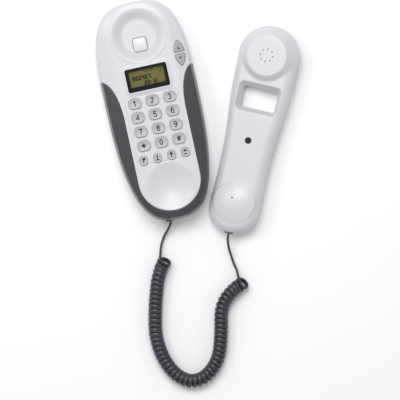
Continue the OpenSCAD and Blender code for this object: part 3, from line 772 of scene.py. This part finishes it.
def func_place(i):
    return ((i - 1.5) * FUNC_PITCH, FUNC_Y)


def band_profile(ray):
    (px, py), (dx, dy) = ray
    out = outline_reach(px, py, dx, dy)
    inner = min(out - 0.02, (panel_reach(py) if dy == 0 else PANEL_HALF_W) + 0.15)
    width = out - inner
    top = []
    stops = [width * f for f in (0, 0.02, 0.05, 0.1, 0.2, 0.3, 0.4, 0.5, 0.6, 0.75, 1.0)]
    near_wall = (-1.6, -1.1, -0.6, -0.2, 0.2, 0.6, 1.1, 1.6, 2.4)
    stops += [min(width, max(0.0, width - WALL_RUN + d)) for d in near_wall]
    for f in sorted(stops):
        r = inner + f
        z = crown(dx * r, py + dy * r, out - r) - 0.15 - round_drop(0.6, r - inner)
        top.append((r, max(z, REAR_H + 0.5)))
    z = top[-1][1]
    floor = REAR_H + 0.2
    side = [(out, mix(z, floor, f)) for f in (0.3, 0.7, 1.0)]
    return top + side + [(inner, floor), (inner, mix(floor, top[0][1], 0.5)), top[0]]


def make_band():
    foot_rays = [r for r in BASE_RAYS if is_foot(r)]
    right = [r for r in foot_rays if r[1] == (1.0, 0.0)][::-1]
    left = [r for r in foot_rays if r[1] == (-1.0, 0.0)][::-1]
    foot = sorted((r for r in foot_rays if r[1][1] < 0), key=lambda r: -r[1][0])
    bm = bmesh.new()
    rings = []
    for ray in right + foot + left:
        (px, py), (dx, dy) = ray
        rings.append([bm.verts.new((px + dx * r, py + dy * r, z)) for r, z in band_profile(ray)[:-1]])
    skin(bm, rings)
    bm.faces.new(rings[0])
    bm.faces.new(rings[-1])
    band = piece_from(bm, "side_trim", [band_grey])
    fit(band, "base", "band_grey", "side_band")


make_front_cover()
make_band()

# ---- Keys and plunger ----


def button(bm, outline, height, low, edge, rings=7):
    """A closed button over an outline: its top by height(x, y), a rounded rim, straight sides down to low."""
    cx = sum(p[0] for p in outline) / len(outline)
    cy = sum(p[1] for p in outline) / len(outline)
    size = min(math.hypot(x - cx, y - cy) for x, y in outline)
    scales = [k / rings * (1 - edge / size) for k in range(1, rings + 1)]
    scales += [1 - edge / size * f for f in (0.7, 0.45, 0.25, 0.1, 0.0)]
    made = []
    for s in scales:
        ring = []
        drop = round_drop(edge, (1 - s) * size)
        for x, y in outline:
            u, v = cx + (x - cx) * s, cy + (y - cy) * s
            ring.append(bm.verts.new((u, v, height(u, v) - drop)))
        made.append(ring)
    made.append([bm.verts.new((x, y, low)) for x, y in outline])
    skin(bm, made)
    top = bm.verts.new((cx, cy, height(cx, cy)))
    n = len(outline)
    for k in range(n):
        bm.faces.new((top, made[0][k], made[0][(k + 1) % n]))
    bm.faces.new(made[-1])


INK_LIFT, INK_SINK = 0.1, 0.02
STROKE_WIDTH = 0.16  # of a sign's height


def arc(x, y, across, along, start, stop, steps=14):
    """Points on an oval, from one angle to another in degrees."""
    angles = [math.radians(start + (stop - start) * k / steps) for k in range(steps + 1)]
    return [(x + across * math.cos(a), y + along * math.sin(a)) for a in angles]


SIX = [arc(0.3, 0.49, 0.25, 0.46, 42, 180), arc(0.3, 0.3, 0.24, 0.26, 0, 360, 24)]
STROKES = {
    "0": [arc(0.3, 0.5, 0.23, 0.45, 0, 360, 28)],
    "1": [[(0.1, 0.74), (0.24, 0.79), (0.34, 0.96)], [(0.36, 1.0), (0.36, 0.0)]],
    "2": [arc(0.3, 0.71, 0.22, 0.24, 168, -38) + [(0.06, 0.06), (0.55, 0.06)]],
    "3": [arc(0.29, 0.73, 0.2, 0.22, 160, -80), arc(0.29, 0.28, 0.24, 0.25, 85, -160)],
    "4": [[(0.43, 0.0), (0.43, 0.94), (0.04, 0.29), (0.58, 0.29)]],
    "5": [[(0.52, 0.95), (0.15, 0.95), (0.09, 0.5)] + arc(0.29, 0.31, 0.24, 0.27, 138, -155)],
    "6": SIX,
    "7": [[(0.04, 0.95), (0.54, 0.95), (0.34, 0.5), (0.24, 0.0)]],
    "8": [arc(0.3, 0.74, 0.19, 0.21, 0, 360, 24), arc(0.3, 0.28, 0.24, 0.24, 0, 360, 24)],
    "9": [[(0.6 - u, 1 - v) for u, v in line] for line in SIX],
    "*": [
        [(0.3 + 0.42 * c, 0.5 + 0.42 * s), (0.3 - 0.42 * c, 0.5 - 0.42 * s)]
        for c, s in ((0, 1), (0.87, 0.5), (0.87, -0.5))
    ],
    "#": [
        [(0.2, 0.05), (0.26, 0.95)], [(0.46, 0.05), (0.52, 0.95)],
        [(0.02, 0.34), (0.66, 0.34)], [(0.06, 0.66), (0.7, 0.66)],
    ],
}


def ribbon(line, thick):
    """Four-sided pieces that follow a line at an even width, with mitred turns."""
    sides = []
    for i, (x, y) in enumerate(line):
        x0, y0 = line[max(i - 1, 0)]
        x1, y1 = line[min(i + 1, len(line) - 1)]
        before = Vector((x - x0, y - y0)) if i > 0 else Vector((x1 - x, y1 - y))
        after = Vector((x1 - x, y1 - y)) if i < len(line) - 1 else before
        before, after = before.normalized(), after.normalized()
        across = Vector((-before.y - after.y, before.x + after.x))
        mitre = max(0.45, math.sqrt(max(0.0, (1 + before.dot(after)) / 2)))
        across = across.normalized() * (thick / 2) / mitre
        sides.append(((x + across.x, y + across.y), (x - across.x, y - across.y)))
    return [(b[0], b[1], a[1], a[0]) for a, b in zip(sides, sides[1:])]


def glyph(bm, sign, at, tall, height, ink):
    """A raised number or sign, its strokes laid on a surface given by height(x, y)."""
    for line in STROKES[sign]:
        placed = [(at[0] + (u - 0.32) * tall, at[1] + (v - 0.5) * tall) for u, v in line]
        flat_sign(bm, ribbon(placed, tall * STROKE_WIDTH), height, ink)


def flat_sign(bm, shapes, height, ink):
    """Ink in the shape of simple polygons, laid on a surface given by height(x, y)."""
    for points in shapes:
        sign = bmesh.new()
        sign.faces.new([sign.verts.new((x, y, 0)) for x, y in points])
        bmesh.ops.triangulate(sign, faces=sign.faces)
        bmesh.ops.subdivide_edges(sign, edges=sign.edges, cuts=1, use_grid_fill=True)
        sign.verts.index_update()
        upper, lower = [
            {v.index: bm.verts.new((v.co.x, v.co.y, height(v.co.x, v.co.y) + lift)) for v in sign.verts}
            for lift in (INK_LIFT, -INK_SINK)
        ]
        for f in sign.faces:
            bm.faces.new([upper[v.index] for v in f.verts]).material_index = ink
            bm.faces.new([lower[v.index] for v in reversed(f.verts)]).material_index = ink
        for e in sign.edges:
            if e.is_boundary:
                a, b = e.verts[0].index, e.verts[1].index
                bm.faces.new((upper[a], upper[b], lower[b], lower[a])).material_index = ink
        sign.free()


def dished(x, y, across, along, low, deep):
    """A key's top that is scooped round its middle."""
    return lambda u, v: low + deep * min(1.2, ((u - x) / across) ** 2 + 0.9 * ((v - y) / along) ** 2)


DIAL = "123456789*0#"
DIAL_NODES = [f"key_{c}" for c in "123456789"] + ["key_star", "key_0", "key_hash"]


def make_keys():
    for i, node in enumerate(DIAL_NODES):
        x, y = key_place(i)
        bm = bmesh.new()
        top = dished(x, y, KEY_W / 2, KEY_D / 2, KEY_TOP - 1.6, 1.5)
        button(bm, key_outline(x, y, KEY_W, KEY_D, 0), top, 30.2, 0.7)
        glyph(bm, DIAL[i], (x, y), 5.6, top, 1)
        fit(piece_from(bm, f"dial_{node}", [key_grey, ink_black]), f"{node}_body", "key_grey", node)


def sign_shapes(i, x, y):
    """Plain marks for the four small keys: a bar with a foot, a ladder, an arrow, and a ring of two bars."""
    bar = [(x - 0.5, y - 2.6), (x + 0.5, y - 2.6), (x + 0.5, y + 2.6), (x - 0.5, y + 2.6)]
    block = [(x + 0.5, y + 0.4), (x + 2.0, y + 0.4), (x + 2.0, y + 2.4), (x + 0.5, y + 2.4)]
    wedge = [(x - 1.9, y + 0.6), (x + 1.9, y + 0.6), (x, y + 3.0)]
    foot = [(x - 1.6, y - 2.6), (x + 1.6, y - 2.6), (x + 1.6, y - 1.5), (x - 1.6, y - 1.5)]
    return [[bar, block], [bar, foot], [bar, wedge], [foot, wedge]][i]


def make_func_keys():
    for i in range(4):
        x, y = func_place(i)
        bm = bmesh.new()
        top = dished(x, y, FUNC_W / 2, FUNC_D / 2, KEY_TOP - 1.6, 1.3)
        button(bm, key_outline(x, y, FUNC_D, FUNC_W, 0, turn=True), top, 30.2, 0.7)
        flat_sign(bm, sign_shapes(i, x, y), top, 1)
        name = f"func_key_{i + 1}"
        fit(piece_from(bm, f"small_{name}", [key_grey, ink_black]), f"{name}_body", "key_grey", name)


def make_arrow_keys():
    for half, node in ((1, "key_up"), (-1, "key_down")):
        outline = lens_outline(0, half)
        cx, cy = ARROW_X, ARROW_Y + half * 4.8

        def top(x, y):
            return crown(x, y, 30) + 1.5 - 0.012 * ((x - cx) ** 2 + (y - cy) ** 2)

        bm = bmesh.new()
        button(bm, outline, top, 24.5, 0.8)
        tri = [(cx - 1.3, cy - half * 0.9), (cx + 1.3, cy - half * 0.9), (cx, cy + half * 1.3)]
        flat_sign(bm, [tri], top, 1)
        fit(piece_from(bm, f"arrow_{node}", [arrow_grey, ink_black]), f"{node}_body", "arrow_grey", node)


def make_hook():
    bm = bmesh.new()
    button(
        bm,
        hook_outline(0),
        lambda x, y: HOOK_TOP - 0.012 * (x * x + (y - HOOK_Y) ** 2),
        19,
        1.6,
        rings=8,
    )
    fit(piece_from(bm, "hook_button", [plunger_white]), "hook", "shell_white", "hook_plunger")


make_keys()
make_func_keys()
make_arrow_keys()
make_hook()

# ---- Display ----

LCD_Y = DISPLAY_Y + 1.0
BEZEL_TOP = 34.6


def make_bezel():
    bm = bmesh.new()
    outer = slab_points(0, DISPLAY_Y, DISPLAY_W / 2 - 0.1, DISPLAY_D / 2 - 0.1, 2.0)
    inner = slab_points(0, LCD_Y, 17.8, 8.1, 0.8)
    eased = [(x * 0.985, DISPLAY_Y + (y - DISPLAY_Y) * 0.975) for x, y in outer]
    levels = [(outer, 30.5), (outer, BEZEL_TOP - 0.5), (eased, BEZEL_TOP)]
    levels += [(inner, BEZEL_TOP), (inner, 32.6), (inner, 30.5)]
    rings = [[bm.verts.new((x, y, z)) for x, y in pts] for pts, z in levels]
    skin(bm, rings + rings[:1])
    fit(piece_from(bm, "display_frame", [black_plastic]), "base", "black_plastic", "display_bezel")


SEGMENTS = {
    "0": "abcdef", "1": "bc", "2": "abged", "3": "abgcd", "4": "fgbc", "5": "afgcd",
    "6": "afgedc", "7": "abc", "8": "abcdefg", "9": "abcdfg", "-": "g",
}


def digit_shapes(char, x, y, w, h, t):
    """Seven-segment strokes of one digit, its lower left corner at x, y."""
    m = h / 2
    bars = {
        "a": (x, y + h - t, x + w, y + h), "d": (x, y, x + w, y + t),
        "g": (x, y + m - t / 2, x + w, y + m + t / 2),
        "b": (x + w - t, y + m, x + w, y + h), "c": (x + w - t, y, x + w, y + m),
        "f": (x, y + m, x + t, y + h), "e": (x, y, x + t, y + m),
    }
    inset = t * 0.05
    shapes = []
    for s in SEGMENTS[char]:
        x0, y0, x1, y1 = bars[s]
        x0, y0, x1, y1 = x0 + inset, y0 + inset, x1 - inset, y1 - inset
        shapes.append([(x0, y0), (x1, y0), (x1, y1), (x0, y1)])
    return shapes


def make_lcd():
    bm = bmesh.new()
    level = 32.0
    outline = slab_points(0, LCD_Y, 18.4, 8.6, 0.5)
    prism(bm, outline, 30.6, level)

    def top(x, y):
        return level

    def row(text, x, y, w, h, t, gap):
        shapes = []
        for char in text:
            if char == ":":
                for low in (y + h * 0.25, y + h * 0.6):
                    shapes.append([(x, low), (x + t, low), (x + t, low + t), (x, low + t)])
                x += t + gap
            else:
                if char != " ":
                    shapes += digit_shapes(char, x, y, w, h, t)
                x += w + gap
        flat_sign(bm, shapes, top, 1)

    row("802467", -14.8, LCD_Y - 2.0, 2.6, 4.6, 0.95, 0.6)
    row("20:12", -3.8, LCD_Y - 7.6, 2.4, 4.4, 0.9, 0.6)
    marks = (
        (-14.4, 5.0, 1.0), (-3.4, 5.6, 1.0), (-1.6, 5.6, 2.6), (1.8, 5.6, 1.0), (5.0, 5.4, 1.8),
        (5.3, 6.2, 1.2), (12.4, 5.6, 1.4), (14.4, 5.6, 1.8), (13.2, 3.0, 2.2),
    )
    for x, up, w in marks:
        y = LCD_Y + up
        flat_sign(bm, [[(x, y), (x + w, y), (x + w, y + 0.8), (x, y + 0.8)]], top, 1)
    fit(piece_from(bm, "lcd_glass", [lcd_olive, lcd_ink]), "base", "lcd", "lcd_panel")


make_bezel()
make_lcd()

# ---- Handset ----


def handset_half(y):
    """Half the handset's width between its two round ends."""
    for i in range(len(WAIST) - 1):
        (y0, w0), (y1, w1) = WAIST[i], WAIST[i + 1]
        if y <= y1:
            before = WAIST[max(i - 1, 0)]
            after = WAIST[min(i + 2, len(WAIST) - 1)]
            s0 = (w1 - before[1]) / (y1 - before[0])
            s1 = (after[1] - w0) / (after[0] - y0)
            if i == 0:
                s0 = 0.0
            if i == len(WAIST) - 2:
                s1 = 0.0
            h = y1 - y0
            t = (y - y0) / h
            return (
                (2 * t**3 - 3 * t * t + 1) * w0
                + (t**3 - 2 * t * t + t) * h * s0
                + (3 * t * t - 2 * t**3) * w1
                + (t**3 - t * t) * h * s1
            )
    return WAIST[-1][1]


def handset_reach(ray):
    (px, py), (dx, dy) = ray
    if dy == 0:
        return handset_half(py)
    return WAIST[-1][1] if dy > 0 else WAIST[0][1]


def face_height(x, y, e):
    """The handset's face: rounded edges, the ear cup's cone, the mouth cup's dome and the window's funnel."""
    z = HANDSET_H - round_drop(HANDSET_H - SEAM_Z - 0.2, e)
    r = math.hypot(x, y - EAR_Y)
    cone = HANDSET_H + EAR_RISE - max(0.0, r - EAR_TOP_R) * 1.2
    z = soft_max(z, cone, 1.2) if r < EAR_R + 4 else z
    if r < EAR_TOP_R + 1.5:
        z -= 0.3 * smooth(EAR_TOP_R - 1.5, EAR_TOP_R + 1.5, r)
    r = math.hypot(x, y - MOUTH_Y)
    dome = HANDSET_H + MOUTH_RISE * (1 - (r / MOUTH_R) ** 2) - 1.4 * max(0.0, r - MOUTH_R + 1.0)
    z = soft_max(z, dome, 1.0) if r < MOUTH_R + 5 else z
    d = box_distance(x, y - WINDOW_Y, WINDOW_W / 2, WINDOW_D / 2, 1.6)
    if d < 7:
        z = soft_min(z, HANDSET_H - 8 + max(d, 0.0) * 1.9, 0.9)
    return z


HANDSET_RAYS = spokes(HANDSET_MOUTH_Y, HANDSET_EAR_Y, spaced(HANDSET_MOUTH_Y, HANDSET_EAR_Y, 0.7), 120)


def face_profile(ray):
    (px, py), (dx, dy) = ray
    out = handset_reach(ray)
    n = 48
    rs = [out * k / n for k in range(n)] + [out - 1 + f for f in (0.15, 0.4, 0.6, 0.75, 0.87, 0.95, 1.0)]
    rs.sort()
    top = [(r, face_height(px + dx * r, py + dy * r, out - r)) for r in rs]
    seam = SEAM_Z + 0.2
    return top[:-1] + [(out, SEAM_Z + 0.7), (out - 0.45, seam), (0, seam)]


def back_profile(ray):
    (px, py), (dx, dy) = ray
    out = handset_reach(ray)
    n = 30
    rs = [out * k / n for k in range(n)] + [out - 1 + f for f in (0.15, 0.4, 0.6, 0.75, 0.87, 0.95, 1.0)]
    rs.sort()
    seam = SEAM_Z - 0.2
    low = []
    for r in rs:
        x, e = dx * r, out - r
        z = CROWN_R - math.sqrt(CROWN_R**2 - x * x)
        rise = round_drop(10.0, e) / 10.0
        low.append((r, z + (seam - 0.4 - z) * rise))
    return [(0, seam), (out - 0.45, seam)] + low[::-1]


def window_tool(bm):
    prism(bm, slab_points(0, WINDOW_Y, WINDOW_W / 2, WINDOW_D / 2, 1.6), -5, 40)


def seat_shell(shell, node):
    """Turn a shell made in the handset's own frame into its place beside the base."""
    shell.data.transform(Matrix.Scale(MM, 4) @ HANDSET_PLACE @ Matrix.Scale(1 / MM, 4))
    fit(shell, "handset", "shell_white", node)


def make_handset():
    face = piece_from(lofted(HANDSET_RAYS, face_profile), "handset_face", [shell_white])
    tools = bmesh.new()
    window_tool(tools)
    prism(tools, disc_points(0, PLUG_Y, PLUG_R + PLUG_GAP, 40), 17, 40)
    for k in range(8):
        a = math.pi / 4 * k
        x, y = SOUND_RING_R * math.cos(a), EAR_Y + SOUND_RING_R * math.sin(a)
        prism(tools, disc_points(x, y, SOUND_HOLE_R, 16), 22, 40)
    prism(tools, disc_points(MOUTH_HOLE_X, MOUTH_Y + 4, SOUND_HOLE_R, 16), 21, 40)
    carve(face, tools, "face_cutters")
    seat_shell(face, "handset_inner_shell")

    back = piece_from(lofted(HANDSET_RAYS, back_profile), "handset_back", [shell_white])
    tools = bmesh.new()
    window_tool(tools)
    carve(back, tools, "back_cutters")
    seat_shell(back, "handset_outer_shell")

    bm = bmesh.new()
    button(bm, disc_points(0, PLUG_Y, PLUG_R, 40), lambda x, y: HANDSET_H - 0.25, 18, 0.4)
    fit(piece_from(bm, "screw_cap", [soft_rubber], HANDSET_PLACE), "handset", "rubber", "screw_plug")


make_handset()

# ---- Finishes of the pieces that keep their own solids ----

KEPT = {
    shell_white: ["rear_cover", "battery_door"],
    black_plastic: [
        "hook_switch", "ringer_slider", "dial_mode_slider", "line_jack", "base_jack", "handset_jack",
    ],
    soft_rubber: ["lcd_connector", "keypad_mat", "rubber_pads", "receiver_gasket", "microphone_boot"],
    board_green: ["main_board"],
    steel: [
        "hook_spring", "battery_contacts", "cover_screws", "receiver_capsule", "microphone", "handset_weight",
        "handset_screw",
    ],
    brass: ["ringer_disc"],
    cell_wrap: ["batteries"],
    clear_plug: ["base_plug", "handset_plug"],
    wire_red: ["base_wiring", "handset_wiring"],
    lens_clear: ["display_lens"],
}
for finish, nodes in KEPT.items():
    for name in nodes:
        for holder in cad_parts[name].material_slots:
            holder.material = finish
